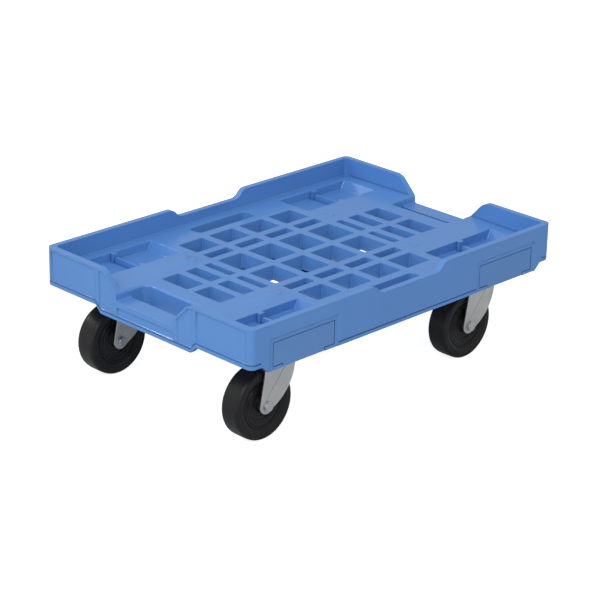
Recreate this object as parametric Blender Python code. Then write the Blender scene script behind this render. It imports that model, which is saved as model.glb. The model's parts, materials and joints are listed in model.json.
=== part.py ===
"""Platform trolley: a one-piece moulded tray deck on four swivel casters.

Metres, +Z up.  The origin is on the floor under the centre of the deck.
The long side lies along X and the short side, with the carrying handles, along Y.
"""
import math

import bmesh
import bpy
from mathutils import Matrix, Vector

MM = 0.001
GAP = 0.3 * MM                      # clearance between neighbouring solids
ROUND_STEPS = 16                    # sides of a small round solid
WHEEL_STEPS = 36                    # sides of the tyre and the wheel centre

# ---- deck -------------------------------------------------------------
DECK_LENGTH = 590 * MM              # along X
DECK_WIDTH = 404 * MM               # along Y
RIM_TOP = 185.5 * MM
TRAY_TOP = 158.5 * MM               # surface that the load stands on
SKIRT_LOW = 120 * MM                # lower edge in the middle of each side
SKIRT_HIGH = 130 * MM               # lower edge at the corners
WALL = 9 * MM                       # rim and skirt thickness
CORNER_RADIUS = 9 * MM
PLATE_UNDERSIDE = 136 * MM          # underside of the ribbed deck plate
SKIN = 4 * MM                       # thickness of the deck skin over a cavity

# raised corner skirt: where the deep skirt steps up
STEP_X = (264 * MM, 275 * MM)
STEP_Y = (89 * MM, 99 * MM)

# grid of openings in the middle of the deck (distances from the centre lines)
CELLS_X = ((6.6 * MM, 52.2 * MM), (64.8 * MM, 110.6 * MM))
CELLS_Y = ((6.4 * MM, 57.2 * MM), (70.4 * MM, 86.6 * MM), (99.2 * MM, 137.4 * MM))
SIDE_CELLS_X = ((123.4 * MM, 136.2 * MM), (149 * MM, 170.6 * MM), (182.4 * MM, 213.4 * MM))
SIDE_CELLS_Y = CELLS_Y[0]

# carrying handle and hand hole in each short side
HANDLE_HALF = 57 * MM
HANDLE_TOP = 147 * MM
HANDLE_INNER = 268 * MM             # inner side of the handle bar
HAND_HOLE_X = (241 * MM, 268 * MM)
HAND_HOLE_HALF = HANDLE_HALF
NOTCH_FOOT = (59 * MM, 160 * MM)    # where the sloping end of the rim begins
NOTCH_TOP = 84 * MM

# lowered rim and grip slot in each long side
LOW_RIM_HALF = 58 * MM
LOW_RIM_TOP = 173 * MM
LOW_RIM_SHOULDER = 69 * MM
GRIP_SLOT_HALF = 56 * MM
GRIP_SLOT_Y = (152.5 * MM, 177 * MM)
SLOT_RADIUS = 7 * MM

# sunk pocket above each caster, with a low divider
POCKET_X = (126 * MM, 266 * MM)
POCKET_Y = (115 * MM, 177 * MM)
POCKET_FLOOR = 145 * MM
POCKET_DRAFT = 8 * MM
DIVIDER_X = 197 * MM
DIVIDER_WIDTH = 6 * MM
DIVIDER_TOP = 153.5 * MM
PILASTER_WIDTH = 9 * MM
PILASTER_DEPTH = 6 * MM

# low round bosses on the tray, dished on top
BOSS_AT = (136 * MM, 82.5 * MM)
BOSS_RADIUS = 7.5 * MM
BOSS_HEIGHT = 1 * MM
BOSS_DISH_RADIUS = 5.8 * MM
BOSS_DISH_DEPTH = 0.8 * MM

# label plates, two on each long side
FRAME_CENTRE = 199.5 * MM
FRAME_HALF = 62 * MM
FRAME_TOP = 165 * MM
FRAME_DEPTH = 1.5 * MM
LABEL_HALF = 55 * MM
LABEL_Z = (125.5 * MM, 157.5 * MM)
TONGUE_HALF = 37.5 * MM
LABEL_THICKNESS = 3 * MM

# ---- casters ----------------------------------------------------------
KINGPIN_X = 200 * MM
KINGPIN_Y = 144.4 * MM
TRAIL = 28.5 * MM                   # the axle trails the kingpin towards -X
WHEEL_RADIUS = 50 * MM
TYRE_HALF_WIDTH = 16 * MM
RIM_RADIUS = 34 * MM                # outside of the wheel centre, under the tyre
HUB_HALF_WIDTH = 17.8 * MM
PLATE_SIZE = (92 * MM, 74 * MM)
PLATE_THICKNESS = 3 * MM
SCREW_SPACING = (36 * MM, 27 * MM)  # half distances between mounting screws
SCREW_RADIUS = 3 * MM
CROWN_TOP = 126.7 * MM
CROWN_RADIUS = 30 * MM
FORK_SHEET = 2.6 * MM
FORK_HALF_WIDTH = 21 * MM           # outside of the fork legs
KINGPIN_RADIUS = 6 * MM
AXLE_RADIUS = 4 * MM
SLEEVE_RADIUS = 6.2 * MM
NUT_SIZE = 7.5 * MM                 # from centre to corner

CORNERS = {
    "front_left": (-1, -1),
    "front_right": (1, -1),
    "rear_left": (-1, 1),
    "rear_right": (1, 1),
}

PLATE_TOP = PLATE_UNDERSIDE - GAP
PLATE_BOTTOM = PLATE_TOP - PLATE_THICKNESS


# ---- modelling helpers ------------------------------------------------
def mesh_from(bm, name="shape"):
    """Close a bmesh: outward normals, then a mesh."""
    bmesh.ops.recalc_face_normals(bm, faces=bm.faces)
    mesh = bpy.data.meshes.new(name)
    bm.to_mesh(mesh)
    bm.free()
    return mesh


def prism(outline, low, high, along="Z"):
    """Extrude a closed outline from low to high along one axis."""
    place = {
        "X": lambda a, b, c: (c, a, b),
        "Y": lambda a, b, c: (a, c, b),
        "Z": lambda a, b, c: (a, b, c),
    }[along]
    bm = bmesh.new()
    face = bm.faces.new([bm.verts.new(place(a, b, low)) for a, b in outline])
    grown = bmesh.ops.extrude_face_region(bm, geom=[face])
    moved = [v for v in grown["geom"] if isinstance(v, bmesh.types.BMVert)]
    bmesh.ops.translate(bm, verts=moved, vec=place(0, 0, high - low))
    return mesh_from(bm)


def rectangle(x0, x1, y0, y1):
    return [(x0, y0), (x1, y0), (x1, y1), (x0, y1)]


def rounded(x0, x1, y0, y1, radius, steps=3):
    """Rectangle outline with round corners."""
    points = []
    centres = (
        (x1 - radius, y1 - radius),
        (x0 + radius, y1 - radius),
        (x0 + radius, y0 + radius),
        (x1 - radius, y0 + radius),
    )
    for quarter, (cx, cy) in enumerate(centres):
        for step in range(steps + 1):
            angle = math.radians(90 * (quarter + step / steps))
            points.append((cx + radius * math.cos(angle), cy + radius * math.sin(angle)))
    return points


def arc(cx, cy, radius, start, end, steps):
    """Points along a circle between two angles in degrees."""
    points = []
    for step in range(steps + 1):
        angle = math.radians(start + (end - start) * step / steps)
        points.append((cx + radius * math.cos(angle), cy + radius * math.sin(angle)))
    return points


def box(x0, x1, y0, y1, z0, z1):
    return prism(rectangle(min(x0, x1), max(x0, x1), min(y0, y1), max(y0, y1)), z0, z1)


def turned(profile, steps=ROUND_STEPS):
    """Turn a closed (radius, height) profile about Z."""
    bm = bmesh.new()
    ring = [bm.verts.new((radius, 0, height)) for radius, height in profile]
    edges = [bm.edges.new((a, b)) for a, b in zip(ring, ring[1:] + ring[:1])]
    bmesh.ops.spin(
        bm, geom=ring + edges, cent=(0, 0, 0), axis=(0, 0, 1),
        angle=math.tau, steps=steps, use_merge=True,
    )
    bmesh.ops.remove_doubles(bm, verts=bm.verts, dist=1e-6)
    loose = [edge for edge in bm.edges if not edge.link_faces]
    bmesh.ops.delete(bm, geom=loose, context="EDGES")
    return mesh_from(bm)


def cylinder(radius, low, high, steps=ROUND_STEPS):
    return turned([(0, low), (radius, low), (radius, high), (0, high)], steps)


def moved(mesh, x=0.0, y=0.0, z=0.0):
    mesh.transform(Matrix.Translation((x, y, z)))
    return mesh


def turned_to_y(mesh):
    """Stand a shape made about Z on the Y axis."""
    mesh.transform(Matrix.Rotation(math.radians(-90), 4, "X"))
    return mesh


def joined(meshes):
    """Several separate shapes in one mesh, for cutting with."""
    bm = bmesh.new()
    for mesh in meshes:
        bm.from_mesh(mesh)
        bpy.data.meshes.remove(mesh)
    return mesh_from(bm, "group")


def mirrored_four(make):
    """The shapes that make(sx, sy) gives in all four quadrants."""
    shapes = []
    for sx in (-1, 1):
        for sy in (-1, 1):
            shapes += make(sx, sy)
    return joined(shapes)


def boolean(base, tool, operation="DIFFERENCE"):
    """Combine two meshes with an exact Boolean and return the new mesh."""
    scene = bpy.context.scene
    body = bpy.data.objects.new("body", base)
    cutter = bpy.data.objects.new("cutter", tool)
    cutter.hide_render = True
    cutter.display_type = "WIRE"
    scene.collection.objects.link(body)
    scene.collection.objects.link(cutter)
    modifier = body.modifiers.new("cut", "BOOLEAN")
    modifier.operation = operation
    modifier.solver = "EXACT"
    modifier.object = cutter
    graph = bpy.context.evaluated_depsgraph_get()
    result = bpy.data.meshes.new_from_object(body.evaluated_get(graph))
    bpy.data.objects.remove(body)
    bpy.data.objects.remove(cutter)
    bpy.data.meshes.remove(base)
    bpy.data.meshes.remove(tool)
    return result


def smoothed(mesh, angle=35):
    """Smooth shading with sharp edges kept."""
    mesh.shade_smooth()
    mesh.set_sharp_from_angle(angle=math.radians(angle))
    return mesh


def material(name, colour, roughness, metallic=0.0):
    made = bpy.data.materials.new(name)
    made.use_nodes = True
    shader = made.node_tree.nodes["Principled BSDF"]
    shader.inputs["Base Color"].default_value = (*colour, 1)
    shader.inputs["Roughness"].default_value = roughness
    shader.inputs["Metallic"].default_value = metallic
    return made


FINISHES = {
    "deck": ((0.124, 0.291, 0.624), 0.45, 0.0),
    "label": ((0.106, 0.242, 0.546), 0.5, 0.0),
    "zinc": ((0.44, 0.46, 0.47), 0.38, 0.9),
    "bolt": ((0.38, 0.39, 0.40), 0.35, 0.9),
    "tyre": ((0.012, 0.012, 0.013), 0.6, 0.0),
    "wheel": ((0.020, 0.020, 0.022), 0.45, 0.0),
}


def place(name, mesh, finish, location=(0, 0, 0), parent=None):
    """Name a solid, give it its own material and put it in the scene."""
    thing = bpy.data.objects.new(name, mesh)
    bpy.context.scene.collection.objects.link(thing)
    thing.location = location
    thing.parent = parent
    colour, roughness, metallic = FINISHES[finish]
    thing.data = mesh
    if not mesh.materials:
        mesh.materials.append(None)
    slot = thing.material_slots[0]
    slot.link = "OBJECT"
    slot.material = material(name + "_" + finish, colour, roughness, metallic)
    return thing


# ---- deck -------------------------------------------------------------
def grid_cells():
    """Openings through the middle of the deck."""
    def quadrant(sx, sy):
        cells = []
        for x0, x1 in CELLS_X:
            for y0, y1 in CELLS_Y:
                cells.append(box(sx * x0, sx * x1, sy * y0, sy * y1, 0.1, 0.2))
        for x0, x1 in SIDE_CELLS_X:
            y0, y1 = SIDE_CELLS_Y
            cells.append(box(sx * x0, sx * x1, sy * y0, sy * y1, 0.1, 0.2))
        return cells
    return mirrored_four(quadrant)


def hand_openings():
    """Grip slots by the long sides and hand holes behind the two handles."""
    shapes = []
    for side in (-1, 1):
        y0, y1 = sorted(side * y for y in GRIP_SLOT_Y)
        slot = rounded(-GRIP_SLOT_HALF, GRIP_SLOT_HALF, y0, y1, SLOT_RADIUS)
        shapes.append(prism(slot, 0.1, 0.2))
        x0, x1 = sorted(side * x for x in HAND_HOLE_X)
        hole = rounded(x0, x1, -HAND_HOLE_HALF, HAND_HOLE_HALF, SLOT_RADIUS)
        shapes.append(prism(hole, 0.1, 0.2))
    return joined(shapes)


def pockets():
    """Sunk pocket above each caster: sloping ends, a low divider and two pilasters."""
    def quadrant(sx, sy):
        section = [
            (sx * POCKET_X[0], TRAY_TOP + 5 * MM),
            (sx * POCKET_X[0], TRAY_TOP),
            (sx * (POCKET_X[0] + POCKET_DRAFT), POCKET_FLOOR),
            (sx * (POCKET_X[1] - POCKET_DRAFT), POCKET_FLOOR),
            (sx * POCKET_X[1], TRAY_TOP),
            (sx * POCKET_X[1], TRAY_TOP + 5 * MM),
        ]
        y0, y1 = sorted(sy * y for y in POCKET_Y)
        pocket = prism(section, y0, y1, along="Y")
        x0, x1 = sx * DIVIDER_X - DIVIDER_WIDTH / 2, sx * DIVIDER_X + DIVIDER_WIDTH / 2
        pocket = boolean(pocket, box(x0, x1, y0 - 5 * MM, y1 + 5 * MM, 0.14, DIVIDER_TOP))
        x0, x1 = sx * DIVIDER_X - PILASTER_WIDTH / 2, sx * DIVIDER_X + PILASTER_WIDTH / 2
        posts = joined([
            box(x0, x1, y0 - 5 * MM, y0 + PILASTER_DEPTH, 0.139, TRAY_TOP - 0.2 * MM),
            box(x0, x1, y1 - PILASTER_DEPTH, y1 + 5 * MM, 0.139, TRAY_TOP - 0.2 * MM),
        ])
        return [boolean(pocket, posts)]
    return mirrored_four(quadrant)


def handle_notches():
    """Low part of each short side, from the handle bar up to the sloping rim ends."""
    above = RIM_TOP + 10 * MM
    outline = [
        (-HANDLE_HALF, HANDLE_TOP),
        (HANDLE_HALF, HANDLE_TOP),
        NOTCH_FOOT,
        (NOTCH_TOP, RIM_TOP),
        (NOTCH_TOP, above),
        (-NOTCH_TOP, above),
        (-NOTCH_TOP, RIM_TOP),
        (-NOTCH_FOOT[0], NOTCH_FOOT[1]),
    ]
    shapes = []
    for side in (-1, 1):
        x0, x1 = sorted((side * (HANDLE_INNER - 8 * MM), side * 0.31))
        shapes.append(prism(outline, x0, x1, along="X"))
    return joined(shapes)


def low_rims():
    """Lowered middle of the rim on each long side."""
    above = RIM_TOP + 10 * MM
    outline = [
        (-LOW_RIM_HALF, LOW_RIM_TOP),
        (LOW_RIM_HALF, LOW_RIM_TOP),
        (LOW_RIM_SHOULDER, RIM_TOP),
        (LOW_RIM_SHOULDER, above),
        (-LOW_RIM_SHOULDER, above),
        (-LOW_RIM_SHOULDER, RIM_TOP),
    ]
    shapes = []
    for side in (-1, 1):
        y0, y1 = sorted((side * (DECK_WIDTH / 2 - WALL - 5 * MM), side * 0.22))
        shapes.append(prism(outline, y0, y1, along="Y"))
    return joined(shapes)


def raised_corners():
    """Cuts that lift the lower edge at the four corners, with sloping sides."""
    def quadrant(sx, sy):
        drop = 5 * MM
        slope_x = (STEP_X[1] - STEP_X[0]) / (SKIRT_HIGH - SKIRT_LOW)
        slope_y = (STEP_Y[1] - STEP_Y[0]) / (SKIRT_HIGH - SKIRT_LOW)
        bm = bmesh.new()
        levels = (
            (SKIRT_LOW - drop, STEP_X[0] - drop * slope_x, STEP_Y[0] - drop * slope_y),
            (SKIRT_HIGH, STEP_X[1], STEP_Y[1]),
        )
        for z, x, y in levels:
            for a, b in rectangle(x, 0.31, y, 0.22):
                bm.verts.new((sx * a, sy * b, z))
        bmesh.ops.convex_hull(bm, input=bm.verts)
        return [mesh_from(bm)]
    return mirrored_four(quadrant)


def underside():
    """Hollow under the deck, between the skirt, the two beams and the handle bars."""
    inner_x = DECK_LENGTH / 2 - WALL
    inner_y = DECK_WIDTH / 2 - WALL
    beam = (CELLS_Y[0][1], CELLS_Y[1][0])
    beam_end = SIDE_CELLS_X[2][1] + 12 * MM
    beam_low = 126 * MM
    bar_x = HAND_HOLE_X[0] - SKIN
    bar_y = HANDLE_HALF + SKIN
    floor = 0.1
    middle = prism(rounded(-inner_x, inner_x, -inner_y, inner_y, 5 * MM), floor, PLATE_UNDERSIDE)
    keep = [
        box(side * bar_x, side * 0.31, -bar_y, bar_y, floor - 0.01, 0.17) for side in (-1, 1)
    ]
    for side in (-1, 1):
        keep.append(box(-beam_end, beam_end, side * beam[0], side * beam[1], beam_low, 0.17))
    return boolean(middle, joined(keep))


def lightening():
    """Deeper cavities under the plain parts of the deck skin."""
    top = TRAY_TOP - SKIN

    def quadrant(sx, sy):
        return [
            box(sx * 128 * MM, sx * 176 * MM, sy * 75 * MM, sy * 109 * MM, 0.13, top),
            box(sx * 180 * MM, sx * 232 * MM, sy * 75 * MM, sy * 109 * MM, 0.13, top),
            box(sx * 62 * MM, sx * 112 * MM, sy * 146 * MM, sy * 186 * MM, 0.13, top),
        ]
    return mirrored_four(quadrant)


def label_outline(grow):
    """T-shaped outline of a label plate, grown by a gap on every side but the lowest."""
    side = LABEL_HALF + grow
    tongue = TONGUE_HALF + grow
    low, high = LABEL_Z[0] - grow, LABEL_Z[1] + grow
    bottom = SKIRT_LOW + 0.4 * MM if grow == 0 else SKIRT_LOW - 5 * MM
    return [
        (-tongue, bottom), (tongue, bottom), (tongue, low), (side, low),
        (side, high), (-side, high), (-side, low), (-tongue, low),
    ]


def label_recesses():
    """Shallow frame on the skirt, and the seat of the label plate inside it."""
    face = DECK_WIDTH / 2
    seat = FRAME_DEPTH + LABEL_THICKNESS + GAP

    def quadrant(sx, sy):
        frame = rectangle(-FRAME_HALF, FRAME_HALF, 0.11, FRAME_TOP)
        y0, y1 = sorted((sy * (face - FRAME_DEPTH), sy * 0.21))
        shape = prism(frame, y0, y1, along="Y")
        y0, y1 = sorted((sy * (face - seat), sy * 0.209))
        shape = boolean(shape, prism(label_outline(GAP), y0, y1, along="Y"), "UNION")
        return [moved(shape, x=sx * FRAME_CENTRE)]
    return mirrored_four(quadrant)


def caster_holes():
    """Blind screw holes and a recess for the kingpin head in each caster seat."""
    def quadrant(sx, sy):
        x, y = sx * KINGPIN_X, sy * KINGPIN_Y
        shapes = [moved(cylinder(12.5 * MM, 0.13, PLATE_UNDERSIDE + 3.5 * MM), x, y)]
        for dx in (-1, 1):
            for dy in (-1, 1):
                hole = cylinder(SCREW_RADIUS + GAP, 0.13, PLATE_UNDERSIDE + 7.5 * MM, 12)
                shapes.append(moved(hole, x + dx * SCREW_SPACING[0], y + dy * SCREW_SPACING[1]))
        return shapes
    return mirrored_four(quadrant)


def bosses():
    """Four low round bosses on the tray."""
    def quadrant(sx, sy):
        boss = cylinder(BOSS_RADIUS, TRAY_TOP - 2 * MM, TRAY_TOP + BOSS_HEIGHT, 24)
        return [moved(boss, sx * BOSS_AT[0], sy * BOSS_AT[1])]
    return mirrored_four(quadrant)


def boss_dishes():
    """The shallow round dish in the top of each boss."""
    def quadrant(sx, sy):
        floor = TRAY_TOP + BOSS_HEIGHT - BOSS_DISH_DEPTH
        dish = cylinder(BOSS_DISH_RADIUS, floor, TRAY_TOP + 2 * BOSS_HEIGHT, 24)
        return [moved(dish, sx * BOSS_AT[0], sy * BOSS_AT[1])]
    return mirrored_four(quadrant)


def deck_mesh():
    half_x, half_y = DECK_LENGTH / 2, DECK_WIDTH / 2
    body = prism(rounded(-half_x, half_x, -half_y, half_y, CORNER_RADIUS), SKIRT_LOW, RIM_TOP)
    tray = rounded(
        -half_x + WALL, half_x - WALL, -half_y + WALL, half_y - WALL, CORNER_RADIUS - 3 * MM,
    )
    body = boolean(body, prism(tray, TRAY_TOP, 0.2))
    for cut in (
        pockets, handle_notches, low_rims, raised_corners, underside,
        lightening, grid_cells, hand_openings, label_recesses, caster_holes,
    ):
        body = boolean(body, cut())
    body = boolean(body, bosses(), "UNION")
    return boolean(body, boss_dishes())


def build_deck():
    place("deck", deck_mesh(), "deck")
    face = DECK_WIDTH / 2 - FRAME_DEPTH
    sides = {"front": -1, "rear": 1}
    for name, sy in sides.items():
        for end, sx in (("left", -1), ("right", 1)):
            y0, y1 = sorted((sy * face, sy * (face - LABEL_THICKNESS)))
            mesh = prism(label_outline(0), y0, y1, along="Y")
            moved(mesh, x=sx * FRAME_CENTRE)
            place("label_plate_" + name + "_" + end, mesh, "label")


# ---- casters ----------------------------------------------------------
def mount_plate():
    """Top plate of a caster, with four screw holes and the kingpin hole."""
    half_x, half_y = (size / 2 for size in PLATE_SIZE)
    mesh = prism(rounded(-half_x, half_x, -half_y, half_y, 8 * MM), PLATE_BOTTOM, PLATE_TOP)
    holes = [cylinder(KINGPIN_RADIUS + GAP, 0.12, 0.14)]
    for dx in (-1, 1):
        for dy in (-1, 1):
            hole = cylinder(SCREW_RADIUS + GAP, 0.12, 0.14, 12)
            holes.append(moved(hole, dx * SCREW_SPACING[0], dy * SCREW_SPACING[1]))
    return boolean(mesh, joined(holes))


def screw():
    """Hexagon-head screw, driven up into the deck."""
    head_top = PLATE_BOTTOM - GAP
    head_low = head_top - 4 * MM
    mesh = prism(arc(0, 0, 5.8 * MM, 0, 300, 5), head_low, head_top)
    shank = cylinder(SCREW_RADIUS, head_top - 1 * MM, PLATE_UNDERSIDE + 7 * MM, 12)
    return boolean(mesh, shank, "UNION")


def kingpin():
    """Riveted pin that holds the fork under the plate."""
    low, high = 116.6 * MM, PLATE_UNDERSIDE + 2.8 * MM
    crown_low = CROWN_TOP - 5.7 * MM
    return turned([
        (0, low), (9 * MM, low), (10.5 * MM, low + 1.5 * MM), (10.5 * MM, crown_low - GAP),
        (KINGPIN_RADIUS, crown_low - GAP), (KINGPIN_RADIUS, PLATE_TOP + GAP),
        (11 * MM, PLATE_TOP + GAP), (11 * MM, high), (0, high),
    ])


def ball_ring():
    """Ring of bearing balls in its cage, between the plate and the fork crown."""
    low, high = CROWN_TOP + GAP, PLATE_BOTTOM - GAP
    middle, reach = (low + high) / 2, (high - low) / 2
    section = arc(22 * MM, middle, reach, 30, 330, 5)
    return turned([(22 * MM + (r - 22 * MM) * 1.5, h) for r, h in section], 24)


def fork():
    """Pressed-steel fork: a round crown, and two legs down to the axle."""
    crown_low = CROWN_TOP - 5.7 * MM
    shoulder = CROWN_TOP - 2.7 * MM
    inside = FORK_HALF_WIDTH - FORK_SHEET
    channel = [
        (-FORK_HALF_WIDTH, 30 * MM), (-inside, 30 * MM), (-inside, crown_low),
        (inside, crown_low), (inside, 30 * MM), (FORK_HALF_WIDTH, 30 * MM),
        (FORK_HALF_WIDTH, shoulder), (-FORK_HALF_WIDTH, shoulder),
    ]
    legs = prism(channel, -50 * MM, 40 * MM, along="X")
    foot = 12.3 * MM
    outline = [(20.5 * MM, 130 * MM)]
    outline += arc(-44 * MM, 105 * MM, 65 * MM, -7, -62, 9)
    outline += arc(-TRAIL - 1 * MM, 51.5 * MM, foot, -42, -175, 8)
    outline += [(-32.5 * MM, 100 * MM), (-30.5 * MM, 130 * MM)]
    legs = boolean(legs, prism(outline, -0.03, 0.03, along="Y"), "INTERSECT")
    crown = turned([
        (0, crown_low), (CROWN_RADIUS - 3 * MM, crown_low), (CROWN_RADIUS, crown_low + 1.5 * MM),
        (CROWN_RADIUS, CROWN_TOP - 2 * MM), (CROWN_RADIUS - 2 * MM, CROWN_TOP), (0, CROWN_TOP),
    ], 28)
    body = boolean(crown, legs, "UNION")
    body = boolean(body, cylinder(KINGPIN_RADIUS + GAP, 0.11, 0.14))
    axle_hole = turned_to_y(cylinder(AXLE_RADIUS + GAP, -0.03, 0.03))
    return boolean(body, moved(axle_hole, -TRAIL, 0, WHEEL_RADIUS))


def axle_bolt():
    """Hexagon-head bolt through the fork legs, head to the front."""
    head = FORK_HALF_WIDTH + GAP
    mesh = prism(arc(0, 0, NUT_SIZE, 0, 300, 5), head, head + 4.6 * MM)
    shank = cylinder(AXLE_RADIUS, -FORK_HALF_WIDTH - 8 * MM, head + 1 * MM)
    mesh = boolean(mesh, shank, "UNION")
    mesh.transform(Matrix.Rotation(math.radians(90), 4, "X"))
    return mesh


def axle_nut():
    """Lock nut on the rear end of the axle bolt."""
    low = FORK_HALF_WIDTH + GAP
    mesh = prism(arc(0, 0, NUT_SIZE, 0, 300, 5), low, low + 6 * MM)
    mesh = boolean(mesh, cylinder(AXLE_RADIUS + GAP, 0, 0.1))
    return turned_to_y(mesh)


def axle_sleeve():
    """Steel tube that the wheel turns on, clamped between the fork legs."""
    half = FORK_HALF_WIDTH - FORK_SHEET - GAP
    bore = AXLE_RADIUS + GAP
    return turned_to_y(turned([
        (bore, -half), (SLEEVE_RADIUS, -half), (SLEEVE_RADIUS, half), (bore, half),
    ]))


def wheel_centre():
    """Moulded wheel centre: a wide boss, a thin web and the band under the tyre."""
    bore = SLEEVE_RADIUS + GAP
    boss, band, web = 13 * MM, 29 * MM, 5 * MM
    tread = TYRE_HALF_WIDTH - 2.5 * MM
    side = [
        (bore, -HUB_HALF_WIDTH), (boss, -HUB_HALF_WIDTH), (boss + 2 * MM, -web),
        (band, -web), (band + 1 * MM, -tread), (RIM_RADIUS, -tread),
    ]
    return turned_to_y(turned(side + [(r, -h) for r, h in reversed(side)], WHEEL_STEPS))


def tyre():
    """Solid rubber tyre with a slightly domed tread and rounded shoulders."""
    inner = RIM_RADIUS + GAP
    half = TYRE_HALF_WIDTH
    side = [
        (inner, -half), (WHEEL_RADIUS - 4 * MM, -half),
        (WHEEL_RADIUS - 1.3 * MM, -half + 1.3 * MM), (WHEEL_RADIUS, -half + 5 * MM),
    ]
    return turned_to_y(turned(side + [(r, -h) for r, h in reversed(side)], WHEEL_STEPS))


def build_casters():
    """Four casters, all trailing towards -X; each piece shares its mesh."""
    shared = {
        "mount_plate": (mount_plate(), "zinc"),
        "kingpin": (smoothed(kingpin()), "bolt"),
        "ball_ring": (smoothed(ball_ring()), "bolt"),
        "fork": (smoothed(fork()), "zinc"),
        "axle_bolt": (smoothed(axle_bolt()), "bolt"),
        "axle_nut": (smoothed(axle_nut()), "bolt"),
        "axle_sleeve": (smoothed(axle_sleeve()), "bolt"),
        "wheel_centre": (smoothed(wheel_centre()), "wheel"),
        "tyre": (smoothed(tyre()), "tyre"),
    }
    on_swivel = ("ball_ring", "fork")
    on_axle = ("axle_bolt", "axle_nut", "axle_sleeve", "wheel_centre", "tyre")
    screw_mesh = screw()
    for corner, (sx, sy) in CORNERS.items():
        swivel = bpy.data.objects.new("swivel_axis_" + corner, None)
        swivel.location = (sx * KINGPIN_X, sy * KINGPIN_Y, 0)
        axle = bpy.data.objects.new("axle_axis_" + corner, None)
        axle.location = (-TRAIL, 0, WHEEL_RADIUS)
        axle.parent = swivel
        for empty in (swivel, axle):
            bpy.context.scene.collection.objects.link(empty)
        for piece, (mesh, finish) in shared.items():
            name = piece + "_" + corner
            if piece in on_axle:
                place(name, mesh, finish, parent=axle)
            elif piece in on_swivel:
                place(name, mesh, finish, parent=swivel)
            else:
                place(name, mesh, finish, (swivel.location.x, swivel.location.y, 0))
        number = 0
        for dx in (-1, 1):
            for dy in (-1, 1):
                number += 1
                where = Vector((
                    sx * KINGPIN_X + dx * SCREW_SPACING[0],
                    sy * KINGPIN_Y + dy * SCREW_SPACING[1],
                    0,
                ))
                place("mount_screw_" + corner + "_" + str(number), screw_mesh, "bolt", where)


def clear_scene():
    for thing in list(bpy.data.objects):
        bpy.data.objects.remove(thing)


clear_scene()
build_deck()
build_casters()
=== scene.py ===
# %% [markdown]
# # A plastic platform trolley
# This is a low trolley for moving stacked containers: a one-piece blue plastic deck with a raised
# rim, an open grid and hand openings, carried on four swivel casters with black wheels.
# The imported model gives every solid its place. This lesson builds the finished shapes around it,
# piece by piece, and gives each one its material.

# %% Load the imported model
import json
import math

import bmesh
import bpy
from mathutils import Matrix, Quaternion, Vector


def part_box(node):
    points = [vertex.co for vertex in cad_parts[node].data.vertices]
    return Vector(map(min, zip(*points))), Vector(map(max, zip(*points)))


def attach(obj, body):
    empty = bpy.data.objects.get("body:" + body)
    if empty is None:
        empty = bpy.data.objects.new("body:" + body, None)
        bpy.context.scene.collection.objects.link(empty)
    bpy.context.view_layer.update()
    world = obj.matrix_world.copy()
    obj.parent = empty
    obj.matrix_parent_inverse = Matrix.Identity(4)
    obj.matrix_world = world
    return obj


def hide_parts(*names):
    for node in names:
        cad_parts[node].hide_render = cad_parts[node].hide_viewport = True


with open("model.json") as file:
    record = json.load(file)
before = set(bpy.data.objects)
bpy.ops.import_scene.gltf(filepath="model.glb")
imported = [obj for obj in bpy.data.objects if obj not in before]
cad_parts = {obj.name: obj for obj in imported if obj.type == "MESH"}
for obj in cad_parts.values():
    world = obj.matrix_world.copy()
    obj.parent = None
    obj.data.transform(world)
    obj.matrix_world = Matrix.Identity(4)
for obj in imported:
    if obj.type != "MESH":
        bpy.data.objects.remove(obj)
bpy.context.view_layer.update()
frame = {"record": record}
MM = 0.001

# %% [markdown]
# ## Camera
# The trolley is looked at from its front left corner, from a little above, through a long lens.
# A long lens far away keeps the long sides nearly parallel. The camera is placed by an azimuth,
# an elevation and a distance from a point in the middle of the deck, and then tilted by a
# degree, as a hand-held camera would be.

# %% Camera
AIM = Vector((-0.0131, -0.0061, 0.0935))
AZIMUTH = math.radians(-45.49)
ELEVATION = math.radians(22.07)
DISTANCE = 3.0956
ROLL = math.radians(1.28)
LENS = 133.1

level = Vector((math.sin(AZIMUTH), -math.cos(AZIMUTH), 0))
towards_camera = level * math.cos(ELEVATION) + Vector((0, 0, math.sin(ELEVATION)))
camera = bpy.data.objects.new("camera", bpy.data.cameras.new("camera"))
bpy.context.scene.collection.objects.link(camera)
camera.location = AIM + towards_camera * DISTANCE
camera.rotation_mode = "QUATERNION"
camera.rotation_quaternion = (
    (-towards_camera).to_track_quat("-Z", "Y") @ Quaternion((0, 0, 1), ROLL)
)
camera.data.lens = LENS
camera.data.sensor_width = 36
camera.data.clip_end = 50
bpy.context.scene.camera = camera
print("camera at", [round(c, 3) for c in camera.location])

# %% [markdown]
# ## Floor and light
# Catalogue light is almost the same from every side: a white room with a white floor. The floor
# sends light back up, which keeps the outside of the skirt bright, while the inside of the rim
# sees the blue tray instead and turns deeper. The room is brightest high on the left, so every
# step in the skirt that faces right shows as a darker line. A softbox on the left models the
# relief, a weaker one behind it lights the edges of the pockets, and a small flash beside the
# camera fills the front. The floor glows for the camera alone, which keeps it white without
# lighting the skirt from below.

# %% Floor
bpy.context.scene.view_settings.view_transform = "Standard"
FLOOR_GREY = 0.60
FLOOR_GLOW = 0.84                   # seen by the camera only


def linked(thing):
    """Put an object in the scene."""
    bpy.context.scene.collection.objects.link(thing)
    return thing


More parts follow.
